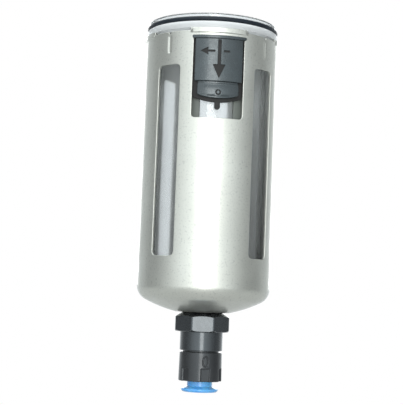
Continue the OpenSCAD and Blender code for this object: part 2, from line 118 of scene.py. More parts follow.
class Net:
    """Points with their own normals, welded where they meet, and faces between them."""

    def __init__(self):
        self.points, self.normals, self.faces, self.index = [], [], [], {}

    def add(self, point, normal):
        key = tuple(round(c, 3) for c in point)
        if key not in self.index:
            self.index[key] = len(self.points)
            self.points.append(point)
            self.normals.append(normal)
        return self.index[key]

    def face(self, *ids):
        ring = [i for n, i in enumerate(ids) if i != ids[n - 1]]
        if len(set(ring)) == len(ring) and len(ring) > 2:
            self.faces.append(ring)

    def strip(self, a, b, closed=True):
        for i in range(len(a) - (0 if closed else 1)):
            j = (i + 1) % len(a)
            self.face(a[i], a[j], b[j], b[i])

    def loft(self, rows, closed=True):
        """Strips from each row to the next, and from the last to the first if closed."""
        for a, b in zip(rows, rows[1:] + rows[:1] if closed else rows[1:]):
            self.strip(a, b)


def make(name, net, finish, body, node, second=None, where=None):
    """A piece in a CAD node's place. Faces where where(r, angle, z) is true take the second finish."""
    mesh = bpy.data.meshes.new(name)
    mesh.from_pydata([[c * MM for c in p] for p in net.points], [], net.faces)
    bm = bmesh.new()
    bm.from_mesh(mesh)
    bmesh.ops.recalc_face_normals(bm, faces=bm.faces)
    for f in bm.faces:
        f.smooth = True
    bm.to_mesh(mesh)
    bm.free()
    mesh.normals_split_custom_set_from_vertices(net.normals)
    mesh.materials.append(finish)
    if second:
        mesh.materials.append(second)
        for face in mesh.polygons:
            x, y, z = (c / MM for c in face.center)
            face.material_index = 1 if where(math.hypot(x, y), math.atan2(x, -y), z) else 0
    obj = bpy.data.objects.new(name, mesh)
    bpy.context.scene.collection.objects.link(obj)
    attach(obj, body)
    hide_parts(node)
    return obj


def rounded_line(corners, closed=True, steps=4):
    """(point, outward normal) along a line of (x, y, corner radius); the inside is on the left."""
    out, count = [], len(corners)
    for i, (x, y, radius) in enumerate(corners):
        if not closed and i in (0, count - 1):
            a, b = (corners[0], corners[1]) if i == 0 else (corners[-2], corners[-1])
            dx, dy = unit((b[0] - a[0], b[1] - a[1]))
            out.append(((x, y), (dy, -dx)))
            continue
        px, py, _ = corners[i - 1]
        nx, ny, _ = corners[(i + 1) % count]
        d1, d2 = unit((x - px, y - py)), unit((nx - x, ny - y))
        turn_angle = math.atan2(d1[0] * d2[1] - d1[1] * d2[0], d1[0] * d2[0] + d1[1] * d2[1])
        if abs(turn_angle) < 1e-4 or radius <= 0:
            out.append(((x, y), unit((d1[1] + d2[1], -d1[0] - d2[0]))))
            continue
        back_off = radius * math.tan(abs(turn_angle) / 2)
        way = 1 if turn_angle > 0 else -1
        cx = x - d1[0] * back_off - way * d1[1] * radius
        cy = y - d1[1] * back_off + way * d1[0] * radius
        for k in range(steps + 1):
            a = turn_angle * k / steps
            n = (d1[1] * math.cos(a) + d1[0] * math.sin(a), -d1[0] * math.cos(a) + d1[1] * math.sin(a))
            out.append(((cx + way * n[0] * radius, cy + way * n[1] * radius), n))
    return out


def arc_line(cx, cy, r, a0, a1, n, way=1):
    """(point, normal) along an arc, in degrees; way -1 turns the normals to its centre."""
    out = []
    for i in range(n + 1):
        a = math.radians(a0 + (a1 - a0) * i / n)
        out.append(((cx + r * math.cos(a), cy + r * math.sin(a)), (way * math.cos(a), way * math.sin(a))))
    return out


def arc_points(cx, cy, r, a0, a1, n):
    """Corners with no rounding along an arc, in degrees."""
    return [(x, y, 0) for (x, y), _ in arc_line(cx, cy, r, a0, a1, n)]


def rect(half, z0, z1, r, steps=5, centre=0.0):
    """A rounded rectangle's outline."""
    corners = [(centre - half, z0, r), (centre + half, z0, r), (centre + half, z1, r), (centre - half, z1, r)]
    return rounded_line(corners, steps=steps)


def flip(loop):
    """The same line with its normals turned round, for an opening."""
    return [(p, (-n[0], -n[1])) for p, n in loop]


def dense(loop, step, closed=True):
    """The same line with no gap longer than step."""
    out = []
    for (p, n), (q, m) in zip(loop, loop[1:] + loop[:1] if closed else loop[1:]):
        out.append((p, n))
        count = int(math.hypot(q[0] - p[0], q[1] - p[1]) / step)
        for k in range(1, count + 1):
            t = k / (count + 1)
            out.append(((p[0] + (q[0] - p[0]) * t, p[1] + (q[1] - p[1]) * t),
                        unit((n[0] + (m[0] - n[0]) * t, n[1] + (m[1] - n[1]) * t))))
    return out if closed else out + [loop[-1]]


def lathe(net, line, segments, shape=None):
    """Turns a closed line of ((r, z), normal) round the axis; shape(angle, r, z) moves a point out and up."""
    rows = []
    for (r, z), (nr, nz) in line:
        row = []
        for a in fan(segments):
            outwards, upwards = shape(a, r, z) if shape else (0, 0)
            row.append(net.add(polar(r + outwards, a, z + upwards), polar(nr, a, nz)))
        rows.append(row)
    net.loft(rows)


def extent(ring):
    """Lowest x, highest x, lowest y and highest y of a loop."""
    xs, ys = [p[0] for p in ring], [p[1] for p in ring]
    return min(xs), max(xs), min(ys), max(ys)


def inside(x, y, ring):
    hit = False
    for i, (ax, ay) in enumerate(ring):
        bx, by = ring[i - 1]
        if (ay > y) != (by > y) and x < (bx - ax) * (y - ay) / (by - ay) + ax:
            hit = not hit
    return hit


def fill(outer, holes, spacing, clear, extra=()):
    """Points and triangles that fill a flat region; the loops' points keep their places."""
    points, edges = [], []
    for ring in [outer] + holes:
        first = len(points)
        points += ring
        edges += [(first + i, first + (i + 1) % len(ring)) for i in range(len(ring))]
    segments = [(points[a], points[b]) for a, b in edges]
    boxes = [(*extent(hole), hole) for hole in holes]

    def open_here(x, y):
        for x0, x1, y0, y1, hole in boxes:
            if x0 < x < x1 and y0 < y < y1 and inside(x, y, hole):
                return False
        return inside(x, y, outer)

    def near_edge(x, y):
        for (ax, ay), (bx, by) in segments:
            if min(ax, bx) - clear > x or max(ax, bx) + clear < x:
                continue
            if min(ay, by) - clear > y or max(ay, by) + clear < y:
                continue
            dx, dy = bx - ax, by - ay
            t = max(0, min(1, ((x - ax) * dx + (y - ay) * dy) / (dx * dx + dy * dy + 1e-12)))
            if math.hypot(x - ax - t * dx, y - ay - t * dy) < clear:
                return True
        return False

    x0, x1, y0, y1 = extent(outer)
    columns = max(1, round((x1 - x0) / spacing[0]))
    rows = max(1, round((y1 - y0) / spacing[1]))
    grid = [(x0 + (x1 - x0) * i / columns, y0 + (y1 - y0) * j / rows)
            for i in range(1, columns) for j in range(1, rows)]
    taken = set()
    for x, y in list(extra) + grid:
        key = (round(x / clear), round(y / clear))
        if key not in taken and open_here(x, y) and not near_edge(x, y):
            taken.add(key)
            points.append((x, y))
    made, _, triangles, sources, _, _ = delaunay_2d_cdt([Vector(p) for p in points], edges, [], 0, 1e-7)
    places = [points[source[0]] if source else tuple(place) for place, source in zip(made, sources)]
    kept = []
    for tri in triangles:
        if open_here(sum(places[i][0] for i in tri) / 3, sum(places[i][1] for i in tri) / 3):
            kept.append(tri)
    return places, kept


class Skin:
    """A curved plate: (s, z) is unrolled at radius r0, and front(s, z) is its outer radius."""

    def __init__(self, net, r0, front, back_wall):
        self.net, self.r0, self.front, self.back_wall = net, r0, front, back_wall

    def at(self, s, z, r, n_radial, n_s=0.0, n_z=0.0):
        a = s / self.r0
        n_x = n_radial * math.sin(a) + n_s * math.cos(a)
        n_y = -n_radial * math.cos(a) + n_s * math.sin(a)
        return self.net.add(polar(r, a, z), unit((n_x, n_y, n_z)))

    def slope(self, s, z, surface):
        e = 0.05
        return ((surface(s + e, z) - surface(s - e, z)) / (2 * e),
                (surface(s, z + e) - surface(s, z - e)) / (2 * e))

    def skin(self, surface, outer, holes, spacing, clear, way=1, extra=()):
        """Covers a region of a surface; way -1 faces it to the axis."""
        places, triangles = fill(outer, holes, spacing, clear, extra)
        ids = []
        for s, z in places:
            ds, dz = self.slope(s, z, surface)
            ids.append(self.at(s, z, surface(s, z), way, -way * ds, -way * dz))
        for t in triangles:
            self.net.face(*[ids[i] for i in t])

    def edge(self, loop, roll, closed=True, steps=3, floor=None, back_roll=None):
        """Rolls the plate's edge from its front to its back, or to an engraved floor.
        loop holds (point, normal towards the gap). Returns the front and the far boundary."""
        back_roll = roll if back_roll is None else back_roll
        far, way = (self.back_wall, -1) if floor is None else (floor, 1)
        rows, front_ring, far_ring = [], [], []
        for k in range(steps + 1):
            t = math.pi / 2 * k / steps
            c, e = math.cos(t), math.sin(t)
            inset, drop = roll * (1 - e), roll * (1 - c)
            row = []
            for (s, z), (ns, nz) in loop:
                ps, pz = s - ns * inset, z - nz * inset
                if k == 0:
                    front_ring.append((ps, pz))
                row.append(self.at(ps, pz, self.front(ps, pz) - drop, c, ns * e, nz * e))
            rows.append(row)
        for k in range(steps + 1):
            t = math.pi / 2 * (1 - k / steps)
            c, e = math.cos(t), math.sin(t)
            inset, lift = way * back_roll * (1 - e), back_roll * (1 - c)
            row = []
            for (s, z), (ns, nz) in loop:
                ps, pz = s + ns * inset, z + nz * inset
                if k == steps:
                    far_ring.append((ps, pz))
                row.append(self.at(ps, pz, far(ps, pz) + lift, way * c, ns * e, nz * e))
            rows.append(row)
        for a, b in zip(rows, rows[1:]):
            self.net.strip(a, b, closed)
        return front_ring, far_ring


BACK_ROLL, BACK_GRID = 0.1, (3.0, 3.0)
SIGN_DEPTH, SIGN_ROLL, SIGN_FLOOR_ROLL, SIGN_GRID = 0.35, 0.12, 0.08, (0.6, 0.6)


def plate(net, outline, front, back_wall, r0, roll, spacing, engraved=(), holes=()):
    """A closed curved plate with a rolled edge, engraved signs and holes through it."""
    skin = Skin(net, r0, front, back_wall)
    outer, far = skin.edge(outline, roll, back_roll=BACK_ROLL)
    front_holes, back_holes = [], []

    def sign_floor(s, z):
        return front(s, z) - SIGN_DEPTH

    for loop in engraved:
        ring, floor_ring = skin.edge(flip(loop), SIGN_ROLL, floor=sign_floor, back_roll=SIGN_FLOOR_ROLL)
        front_holes.append(ring)
        skin.skin(sign_floor, floor_ring, [], SIGN_GRID, 0.12)
    for loop in holes:
        ring, far_hole = skin.edge(flip(loop), roll, back_roll=BACK_ROLL)
        front_holes.append(ring)
        back_holes.append(far_hole)
    skin.skin(front, outer, front_holes, spacing, 0.15)
    skin.skin(back_wall, far, back_holes, BACK_GRID, 0.4, way=-1)


# ---- materials ----

def material(name, color, metallic=0.0, rough=0.4, spread=0.06, rough_spread=0.08, grain=900.0,
             grain_depth=0.02, tint=None, cloud=60.0, wear=None, wear_size=260.0, wear_amount=0.62,
             coat=0.0, coat_rough=0.1, sockets=None, stretch=(1, 1, 1), cloud_stretch=(1, 1, 1)):
    """Procedural surface: clouded colour, uneven gloss, fine grain and worn spots, all in object space."""
    m = bpy.data.materials.new(name)
    m.use_nodes = True
    nodes, links = m.node_tree.nodes, m.node_tree.links
    nodes.clear()
    out = nodes.new("ShaderNodeOutputMaterial")
    shader = nodes.new("ShaderNodeBsdfPrincipled")
    links.new(shader.outputs[0], out.inputs[0])
    coord = nodes.new("ShaderNodeTexCoord")

    def noise(scale, detail, stretched, roughness=0.55):
        mapping = nodes.new("ShaderNodeMapping")
        mapping.inputs["Scale"].default_value = stretched
        links.new(coord.outputs["Object"], mapping.inputs[0])
        n = nodes.new("ShaderNodeTexNoise")
        n.inputs["Scale"].default_value = scale
        n.inputs["Detail"].default_value = detail
        n.inputs["Roughness"].default_value = roughness
        links.new(mapping.outputs[0], n.inputs["Vector"])
        return n.outputs["Fac"]

    def ramp(value, lo, hi, a, b):
        r = nodes.new("ShaderNodeMapRange")
        r.inputs["From Min"].default_value, r.inputs["From Max"].default_value = lo, hi
        r.inputs["To Min"].default_value, r.inputs["To Max"].default_value = a, b
        links.new(value, r.inputs["Value"])
        return r.outputs["Result"]

    def blend(fac, a, b):
        mix = nodes.new("ShaderNodeMix")
        mix.data_type = "RGBA"
        links.new(fac, mix.inputs["Factor"])
        for value, socket in ((a, mix.inputs["A"]), (b, mix.inputs["B"])):
            if isinstance(value, tuple):
                socket.default_value = value
            else:
                links.new(value, socket)
        return mix.outputs["Result"]

    low = tuple(c * (1 - spread) for c in color) + (1,)
    high = tuple(min(1, c * (1 + spread)) for c in (tint or color)) + (1,)
    clouds = noise(cloud, 4, cloud_stretch)
    base = blend(ramp(clouds, 0.3, 0.7, 0, 1), low, high)
    gloss = ramp(noise(cloud * 2.3, 5, stretch), 0.3, 0.7, rough - rough_spread, rough + rough_spread)
    if wear:
        spots = ramp(noise(wear_size, 6, stretch, 0.7), wear_amount, wear_amount + 0.06, 0, 1)
        base = blend(spots, base, wear + (1,))
    links.new(base, shader.inputs["Base Color"])
    links.new(gloss, shader.inputs["Roughness"])
    shader.inputs["Metallic"].default_value = metallic
    shader.inputs["Coat Weight"].default_value = coat
    shader.inputs["Coat Roughness"].default_value = coat_rough
    for key, value in (sockets or {}).items():
        shader.inputs[key].default_value = value
    relief = nodes.new("ShaderNodeBump")
    relief.inputs["Strength"].default_value = 0.35
    relief.inputs["Distance"].default_value = grain_depth * MM
    links.new(noise(grain, 3, stretch), relief.inputs["Height"])
    links.new(relief.outputs[0], shader.inputs["Normal"])
    return m


guard_paint = material(
    "guard_paint", (0.695, 0.70, 0.635), tint=(0.715, 0.72, 0.66), metallic=0.88, rough=0.345, spread=0.05,
    rough_spread=0.06, grain=1400, grain_depth=0.13, cloud=34, wear=(0.57, 0.575, 0.53), wear_size=1250,
    wear_amount=0.56, coat=0.4, coat_rough=0.10)
guard_inside = material(
    "guard_inside", (0.60, 0.61, 0.58), tint=(0.64, 0.65, 0.62), rough=0.55, spread=0.05, rough_spread=0.06,
    grain=1900, grain_depth=0.05)
# the rails' dark olive-grey is painted shade, the shade behind the window, not the steel's own colour
rail_painted_shade = material(
    "rail_painted_shade", (0.135, 0.15, 0.135), tint=(0.18, 0.195, 0.175), rough=0.5, spread=0.12, grain_depth=0.06,
    cloud=90, stretch=(1, 1, 0.2), cloud_stretch=(1, 1, 0.15))
clear_plastic = material(
    "clear_plastic", (0.975, 0.985, 0.985), rough=0.10, spread=0.01, rough_spread=0.03, grain=60,
    grain_depth=0.15, cloud=40, sockets={"Transmission Weight": 0.93, "IOR": 1.5})
# a milkier copy of the clear plastic for the flange: its whiteness is painted light, the backlight that
# shines through the clear flange
flange_painted_backlight = material(
    "flange_painted_backlight", (0.97, 0.985, 0.985), rough=0.34, spread=0.01, rough_spread=0.05, grain=160,
    grain_depth=0.08, cloud=70, sockets={"Transmission Weight": 0.45, "IOR": 1.5})
ring_rubber = material(
    "ring_rubber", (0.007, 0.011, 0.018), tint=(0.011, 0.017, 0.026), rough=0.46, spread=0.25, grain=1400,
    grain_depth=0.03, cloud=120, sockets={"Specular IOR Level": 0.35})
soft_rubber = material(
    "soft_rubber", (0.02, 0.021, 0.023), rough=0.55, spread=0.2, grain=1100, grain_depth=0.05)
button_plastic = material(
    "button_plastic", (0.008, 0.012, 0.014), tint=(0.015, 0.022, 0.025), rough=0.29, spread=0.2,
    rough_spread=0.10, grain=1500, grain_depth=0.16, cloud=170, wear=(0.12, 0.15, 0.16), wear_size=1100,
    wear_amount=0.70, coat=0.55, coat_rough=0.17,
    sockets={"Specular IOR Level": 0.85, "Specular Tint": (0.84, 0.96, 1.0, 1)})
button_engraving = material(
    "button_engraving", (0.013, 0.0125, 0.012), rough=0.62, spread=0.2, rough_spread=0.05, grain=1500,
    grain_depth=0.06)
guide_plastic = material(
    "guide_plastic", (0.016, 0.017, 0.019), rough=0.26, spread=0.2, rough_spread=0.06, grain_depth=0.03,
    cloud=110, wear=(0.06, 0.06, 0.062), wear_size=700, wear_amount=0.74, coat=1.0, coat_rough=0.12,
    sockets={"Specular IOR Level": 0.8, "Specular Tint": (0.80, 0.93, 1.0, 1)})
knob_plastic = material(
    "knob_plastic", (0.020, 0.020, 0.021), rough=0.34, spread=0.2, grain=1300, grain_depth=0.06, cloud=120,
    wear=(0.10, 0.10, 0.10), wear_size=650, wear_amount=0.71, coat=0.7, coat_rough=0.18,
    sockets={"Specular Tint": (0.84, 0.94, 1.0, 1)})
blue_plastic = material(
    "blue_plastic", (0.11, 0.44, 1.0), tint=(0.15, 0.52, 1.0), rough=0.24, rough_spread=0.05, grain=800,
    grain_depth=0.03, cloud=150, wear=(0.32, 0.62, 1.0), wear_size=800, wear_amount=0.72, coat=0.6,
    sockets={"Subsurface Weight": 0.12, "Subsurface Scale": 0.002})
steel = material("steel", (0.62, 0.62, 0.63), metallic=1.0, rough=0.28, stretch=(1, 1, 6))
brass = material("brass", (0.76, 0.57, 0.27), metallic=1.0, rough=0.3, spread=0.08, stretch=(1, 1, 8))
acetal = material(
    "acetal", (0.80, 0.80, 0.77), tint=(0.84, 0.84, 0.82), rough=0.42, spread=0.03, grain=700,
    grain_depth=0.03)
cage_plastic = material(
    "cage_plastic", (0.70, 0.73, 0.73), tint=(0.75, 0.77, 0.77), rough=0.38, spread=0.03, grain=800,
    grain_depth=0.03)
fibre = material("fibre", (0.55, 0.53, 0.47), rough=0.75, spread=0.12, grain=2500, grain_depth=0.05)

# ---- guard ----

GUARD_R, WALL = 30.0, 1.0
GUARD_IN = GUARD_R - WALL
CORNER_R = 7.0
DOME_R, DOME_Z = 57.0, 91.2  # the domed bottom's radius and the height of its centre
SEAT_Z, TAB_Z, RIM_Z, SLIT_Z = 35.5, 159.4, 158.2, 157.3
CORNER_A = -math.degrees(math.acos((GUARD_R - CORNER_R) / (DOME_R - CORNER_R)))
TUBE_Z = DOME_Z + (DOME_R - CORNER_R) * math.sin(math.radians(CORNER_A))
SEAM_0, SEAM_1 = GUARD_R * math.radians(-90), GUARD_R * math.radians(270)
QUARTERS = [math.radians(45 + 90 * k) for k in range(-1, 3)]
LUG_OUT, LUG_Z, LUG_RISE = 0.4, 156.9, 0.6
LUG_HALF, LUG_SOFT = 23.4, 1.2  # degrees
RIB_DEPTH, RIB_HALF, RIB_Z0, RIB_Z1 = 0.42, 0.75, 148.2, 156.6
PRESSED = 0.9  # share of a lug or rib that shows on the inside
SLOT_W, SLOT_Z0, SLOT_Z1 = 12.0, 59.7, 143.5
WINDOW_W, WINDOW_Z0, WINDOW_Z1 = 22.4, 119.8, 155.9
BACK_WINDOW_W, BACK_WINDOW_Z0, BACK_WINDOW_A = 20.0, 125.5, math.radians(175)
TAB_HALF, SLIT_HALF = GUARD_R * math.radians(25), 0.6
EDGE_ROLL = 0.28
SEGMENTS, RISE_STEPS = 180, 40


def guard_shape(s, z):
    """Bayonet lugs stand out at the rim, and four locating ribs are pressed in above the slots."""
    a = s / GUARD_R
    off_lug = abs(math.degrees(wrap(a, math.pi / 2)))
    lug = LUG_OUT * smooth((z - LUG_Z) / LUG_RISE) * (1 - smooth((off_lug - LUG_HALF) / LUG_SOFT))
    off_rib = min(abs(a - q) for q in QUARTERS) * GUARD_R
    rib_ends = smooth((z - RIB_Z0) / 1.2) * smooth((RIB_Z1 - z) / 1.0)
    return lug - RIB_DEPTH * math.exp(-((off_rib / RIB_HALF) ** 2)) * rib_ends


def opening(width, z0, z1, corner, angle, steps):
    """A rounded opening of a straight width, unrolled at the guard's outer radius."""
    half = GUARD_R * math.asin(width / 2 / GUARD_R)
    return rect(half, z0, z1, corner, steps=steps, centre=GUARD_R * angle)


guard = Net()
shell = Skin(guard, GUARD_R, lambda s, z: GUARD_R + guard_shape(s, z),
             lambda s, z: GUARD_IN + guard_shape(s, z) * PRESSED)
openings = [opening(SLOT_W, SLOT_Z0, SLOT_Z1, 2.0, q, 6) for q in QUARTERS]
openings.append(opening(WINDOW_W, WINDOW_Z0, WINDOW_Z1, 1.5, 0, 5))
openings.append(opening(BACK_WINDOW_W, BACK_WINDOW_Z0, SLOT_Z1, 2.0, BACK_WINDOW_A, 5))
front_rings, back_rings = [], []
for loop in openings:
    ring_a, ring_b = shell.edge(flip(dense(loop, 1.6)), EDGE_ROLL)
    front_rings.append(ring_a)
    back_rings.append(ring_b)

# the rim, from right to left, with tabs, gaps and slits
rim = [(SEAM_1, TAB_Z, 0)]
for k in (2, 1, 0, -1):
    low, slit, high = (GUARD_R * math.radians(90 * k + along_rim) for along_rim in (0, 45, 90))
    rim += [(high - TAB_HALF, TAB_Z, 0.4), (high - TAB_HALF, RIM_Z, 0.4),
            (slit + SLIT_HALF, RIM_Z, 0.3), (slit + SLIT_HALF, SLIT_Z, 0.3),
            (slit - SLIT_HALF, SLIT_Z, 0.3), (slit - SLIT_HALF, RIM_Z, 0.3),
            (low + TAB_HALF, RIM_Z, 0.4), (low + TAB_HALF, TAB_Z, 0.4)]
rim.append((SEAM_0, TAB_Z, 0))
rim_line = dense(rounded_line(rim, closed=False), 1.1, closed=False)
rim_front, rim_back = shell.edge(rim_line, EDGE_ROLL, closed=False)

seam_step = (SEAM_1 - SEAM_0) / SEGMENTS
bottom_s = [SEAM_0 + (SEAM_1 - SEAM_0) * k / SEGMENTS for k in range(SEGMENTS + 1)]
rise = [TUBE_Z + (TAB_Z - EDGE_ROLL - TUBE_Z) * k / RISE_STEPS for k in range(1, RISE_STEPS)]
# closer points where the ribs and the lugs need them
fine = [(GUARD_R * q + 0.35 * i, 147.8 + 0.6 * j)
        for q in QUARTERS for i in range(-7, 8) for j in range(17)]
fine += [(s, z) for s in bottom_s[:-1] for z in (156.4, 156.9, 157.1, 157.3, 157.6, 158.0)]


def whole(top):
    """The unrolled wall's outline below a rim."""
    bottom = [(s, TUBE_Z) for s in bottom_s]
    return bottom + [(SEAM_1, z) for z in rise] + top + [(SEAM_0, z) for z in reversed(rise)]


shell.skin(shell.front, whole(rim_front), front_rings, (seam_step, 3.0), 0.3, extra=fine)
shell.skin(shell.back_wall, whole(rim_back), back_rings, (seam_step, 3.0), 0.3, way=-1, extra=fine)


def seat_angle(dome, seat):
    """Angle at which a dome round DOME_Z reaches a height, in degrees."""
    return -math.degrees(math.acos(math.sqrt(dome * dome - (DOME_Z - seat) ** 2) / dome))


HOLE_R, HOLE_EASE = 8.3, 0.3
SEAT_IN_Z = SEAT_Z + WALL
DOME_IN = DOME_R - WALL
cup_line = arc_line(GUARD_R - CORNER_R, TUBE_Z, CORNER_R, 0, CORNER_A, 14)
cup_line += arc_line(0, DOME_Z, DOME_R, CORNER_A, seat_angle(DOME_R, SEAT_Z), 16)[1:]
cup_line += [((HOLE_R + HOLE_EASE, SEAT_Z), (0, -1)), ((HOLE_R, SEAT_Z + HOLE_EASE), (-1, 0)),
             ((HOLE_R, SEAT_IN_Z - HOLE_EASE), (-1, 0)), ((HOLE_R + HOLE_EASE, SEAT_IN_Z), (0, 1))]
cup_line += arc_line(0, DOME_Z, DOME_IN, CORNER_A, seat_angle(DOME_IN, SEAT_IN_Z), 16, -1)[::-1]
cup_line += arc_line(GUARD_R - CORNER_R, TUBE_Z, CORNER_R - WALL, 0, CORNER_A, 14, -1)[::-1][1:]
cup_rows = []
for (r, z), (nr, nz) in cup_line:
    cup_rows.append([guard.add(polar(r, s / GUARD_R, z), polar(nr, s / GUARD_R, nz)) for s in bottom_s[:-1]])
guard.loft(cup_rows, closed=False)
make("guard_shell", guard, guard_paint, "bowl_and_guard", "bowl_guard", guard_inside,
     lambda r, a, z: z > TUBE_Z and r < GUARD_IN + 0.2)

# two rails behind the window carry the lock button's base; their dark colour is painted shade
RAIL_IN, RAIL_OUT, RAIL_Z0, RAIL_Z1, RAIL_FOOT_Z = 26.0, 27.1, 113.5, 142.0, 118.6
RAIL_A, RAIL_HALF_A = math.radians(21.5), math.radians(5.5)
rails = Net()
for way in (-1, 1):
    for r_in, r_out, top in ((RAIL_IN, RAIL_OUT, RAIL_Z1), (RAIL_OUT - 0.1, GUARD_IN + 0.05, RAIL_FOOT_Z)):
        rail = rect(r_out * RAIL_HALF_A, RAIL_Z0, top, 0.3, centre=way * r_out * RAIL_A)
        plate(rails, dense(rail, 1.0), even(r_out), even(r_in), r_out, 0.25, (1.2, 1.2))
make("button_rails", rails, rail_painted_shade, "bowl_and_guard", "bowl_guard")

# ---- clear bowl and its ring ----

BOWL_R, BOWL_IN, BOWL_CORNER, BOWL_WALL = 25.6, 23.0, 6.0, 2.6
BOWL_DOME = 54.0
IN_DOME = BOWL_DOME - BOWL_WALL
STEM_HOLE_R = 8.2
BOSS_R, BOSS_Z, WELL_R, WELL_Z = 11.5, 36.5, 14.6, 42.2
FLANGE_R, FLANGE_Z, FLANGE_TOP = 29.65, 159.4, 162.4
FOOT_R, FOOT_Z, FOOT_HALF_A = 29.2, 158.3, 18.2
GROOVE_R, GROOVE_TOP, LIP_R, BOWL_TOP = 27.78, 164.5, 29.0, 166.1
MOUTH_R, MOUTH_Z0, MOUTH_Z1 = 26.0, 159.0, 162.0
bowl_a = -math.degrees(math.acos((BOWL_R - BOWL_CORNER) / (BOWL_DOME - BOWL_CORNER)))
bowl_cz = DOME_Z + (BOWL_DOME - BOWL_CORNER) * math.sin(math.radians(bowl_a))
boss_a = -math.degrees(math.acos(BOSS_R / BOWL_DOME))
well_a = -math.degrees(math.acos(WELL_R / IN_DOME))
profile = [(STEM_HOLE_R, BOSS_Z, 0.2), (BOSS_R, BOSS_Z, 0.4)]
profile += arc_points(0, DOME_Z, BOWL_DOME, boss_a, bowl_a, 8)[:-1]
profile += arc_points(BOWL_R - BOWL_CORNER, bowl_cz, BOWL_CORNER, bowl_a, 0, 10)
profile += [(BOWL_R, FLANGE_Z, 0.5), (FOOT_R, FLANGE_Z, 0), (FOOT_R + 0.04, FLANGE_Z, 0),
            (FLANGE_R, FLANGE_Z, 0.25), (FLANGE_R, FLANGE_TOP, 0.3), (GROOVE_R, FLANGE_TOP, 0.3),
            (GROOVE_R, GROOVE_TOP, 0.2), (LIP_R, GROOVE_TOP, 0.15), (LIP_R, BOWL_TOP, 0.35),
            (MOUTH_R, BOWL_TOP, 0.35), (MOUTH_R, MOUTH_Z1, 0.5), (BOWL_IN, MOUTH_Z0, 1.0)]
profile += arc_points(BOWL_R - BOWL_CORNER, bowl_cz, BOWL_CORNER - BOWL_WALL, 0, bowl_a, 8)[:-1]
profile += arc_points(0, DOME_Z, IN_DOME, bowl_a, well_a, 6)
profile += [(WELL_R, WELL_Z, 0.1), (STEM_HOLE_R, WELL_Z, 0.2)]


def feet(a, r, z):
    """Feet under the flange, between the guard's tabs."""
    under = abs(z - FLANGE_Z) < 0.3 and BOWL_R + 0.6 < r < FOOT_R + 0.02
    off_foot = abs(math.degrees(a) % 90 - 45)
    return (0, FOOT_Z - FLANGE_Z) if under and off_foot <= FOOT_HALF_A else (0, 0)


bowl = Net()
lathe(bowl, rounded_line(profile), 240, shape=feet)
# the flange takes the milkier plastic, painted light for the backlight through it
make("clear_bowl", bowl, clear_plastic, "bowl_and_guard", "bowl", flange_painted_backlight,
     lambda r, a, z: FOOT_Z - 0.2 < z < FLANGE_TOP + 0.1 and r > BOWL_R + 0.3)

RING_R, RING_Z, RING_WIRE_R = 28.8, 163.45, 1.0
ring = Net()
lathe(ring, arc_line(RING_R, RING_Z, RING_WIRE_R, 0, 345, 23), 240)
make("sealing_ring", ring, ring_rubber, "bowl_and_guard", "bowl_o_ring")

# ---- lock button ----

FACE_R, FACE_BACK, FACE_HALF, FACE_Z0, FACE_Z1 = 30.7, 29.6, 10.75, 135.7, 154.6
TOE_R, TOE_BACK, TOE_HALF, TOE_Z0, TOE_Z1 = 30.15, 29.2, 9.3, 129.9, 134.9
LIP_FRONT, LIP_BACK, LIP_HALF, LIP_Z0, LIP_Z1 = 31.5, 30.15, 12.0, 154.4, 155.8
BASE_R, BASE_IN, BASE_HALF, BASE_Z0, BASE_Z1 = 28.8, 27.4, 12.6, 129.6, 157.6
BLOCK_IN = 28.7  # inner radius of the two blocks that join the base with the toe and the face
CHANNEL_HALF, CHANNEL_Z0, CHANNEL_Z1 = 2.75, 135.8, 150.5
PEG_HALF, PEG_Z0, PEG_Z1 = 1.25, 123.6, 127.4
SIGN_Z, SIGN_R, SIGN_IN = 130.9, 1.2, 0.7

# engraved signs: an arrow down, a smaller one to the left with a broken tail, and a ring
down_arrow = rounded_line([(-0.7, 143, 0.1), (-2.75, 143, 0.12), (0, 137, 0.15), (2.75, 143, 0.12),
                           (0.7, 143, 0.1), (0.7, 153.9, 0.12), (-0.7, 153.9, 0.12)], steps=2)
left_arrow = rounded_line([(-8.3, 148.9, 0.12), (-4.9, 147.2, 0.12), (-5.1, 148.5, 0.08), (-1.9, 148.5, 0.08),
                           (-1.9, 149.3, 0.08), (-5.1, 149.3, 0.08), (-4.9, 150.6, 0.12)], steps=2)
tail = rounded_line([(1.9, 148.5, 0.08), (4.6, 148.5, 0.08), (4.6, 149.3, 0.08), (1.9, 149.3, 0.08)], steps=2)
ring_sign = rounded_line(arc_points(0, SIGN_Z, SIGN_R, 93, 447, 28)
                         + arc_points(0, SIGN_Z, SIGN_IN, 447, 93, 20))


def face_front(s, z):
    """The face falls away a little at its lower edge."""
    return FACE_R - 0.25 * smooth((FACE_Z0 + 1.5 - z) / 1.6)


def toe_front(s, z):
    """Barrelled grip that falls away to its lower edge."""
    barrel = math.sin(math.pi * min(1, max(0, (z - 128.3) / 6.6 * 0.8 + 0.12)))
    return TOE_R - 0.15 + 0.45 * barrel - 0.35 * smooth((130.2 - z) / 1.9)


def lip_front(s, z):
    return LIP_FRONT - 0.35 * smooth((155.0 - z) / 0.6)


def engraved_or_base(r, a, z):
    """The parts of the button that the dull finish covers."""
    in_arrows = FACE_R - 0.45 < r < FACE_R - 0.12 and 137 < z < 156 and abs(a) * r < 8
    in_ring = math.hypot(a * r, z - SIGN_Z) < SIGN_R and 29.5 < r < toe_front(0, z) - 0.2
    return r < BASE_R + 0.06 or in_arrows or in_ring


